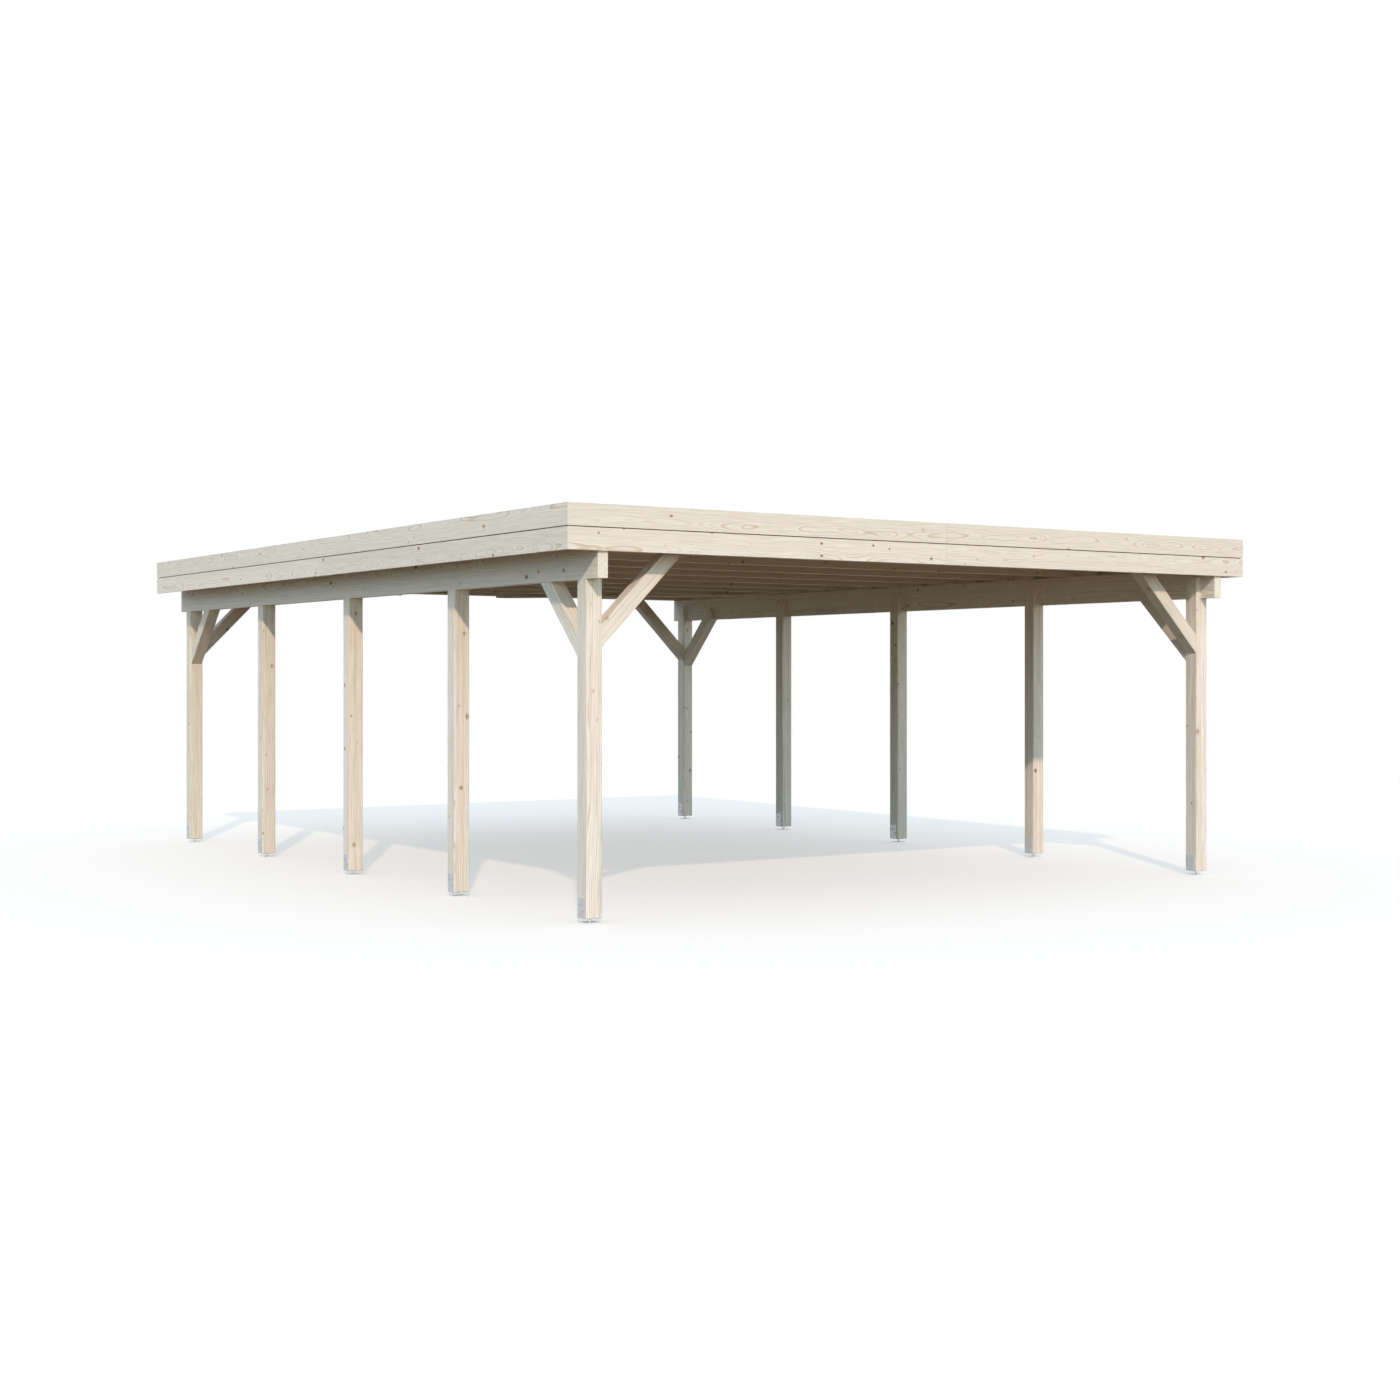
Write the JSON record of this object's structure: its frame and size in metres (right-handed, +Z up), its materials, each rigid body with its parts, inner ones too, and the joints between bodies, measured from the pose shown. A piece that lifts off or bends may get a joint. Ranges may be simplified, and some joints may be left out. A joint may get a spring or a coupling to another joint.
{
  "type": "carport",
  "caption": "Flat-roofed timber carport with square posts on steel feet, side beams, rafters, knee braces and a double-board fascia; open on all sides, shelters cars.",
  "frame": {"origin": "on the ground, at the middle of the plan", "axes": "+X to the right seen from the drive-in front, +Y to the rear along the beams, +Z up"},
  "size_m": [6.032, 7.71, 2.602],
  "materials": {
    "post_timber": "planed spruce",
    "beam_timber": "planed spruce",
    "rafter_timber": "planed spruce",
    "brace_timber": "planed spruce",
    "fascia_timber": "planed spruce",
    "deck_boards": "planed spruce",
    "roofing_membrane": "matt",
    "galvanised_steel": "galvanised"
  },
  "bodies": {
    "root": {"left_post_1": "post_timber", "left_post_2": "post_timber", "left_post_3": "post_timber", "left_post_4": "post_timber", "left_post_5": "post_timber", "right_post_1": "post_timber", "right_post_2": "post_timber", "right_post_3": "post_timber", "right_post_4": "post_timber", "right_post_5": "post_timber", "left_beam": "beam_timber", "right_beam": "beam_timber", "rafter_01": "rafter_timber", "rafter_02": "rafter_timber", "rafter_03": "rafter_timber", "rafter_04": "rafter_timber", "rafter_05": "rafter_timber", "rafter_06": "rafter_timber", "rafter_07": "rafter_timber", "rafter_08": "rafter_timber", "rafter_09": "rafter_timber", "rafter_10": "rafter_timber", "rafter_11": "rafter_timber", "front_tie_rafter": "rafter_timber", "rear_tie_rafter": "rafter_timber", "front_left_cross_brace": "brace_timber", "front_right_cross_brace": "brace_timber", "rear_left_cross_brace": "brace_timber", "rear_right_cross_brace": "brace_timber", "front_left_side_brace": "brace_timber", "front_right_side_brace": "brace_timber", "rear_left_side_brace": "brace_timber", "rear_right_side_brace": "brace_timber", "left_wind_brace": "brace_timber", "right_wind_brace": "brace_timber", "front_lower_fascia": "fascia_timber", "front_upper_fascia": "fascia_timber", "left_lower_fascia": "fascia_timber", "left_upper_fascia": "fascia_timber", "right_lower_fascia": "fascia_timber", "right_upper_fascia": "fascia_timber", "rear_board": "fascia_timber", "roof_deck": "deck_boards", "roof_membrane": "roofing_membrane", "left_post_feet": "galvanised_steel", "right_post_feet": "galvanised_steel"}
  },
  "joints": []
}
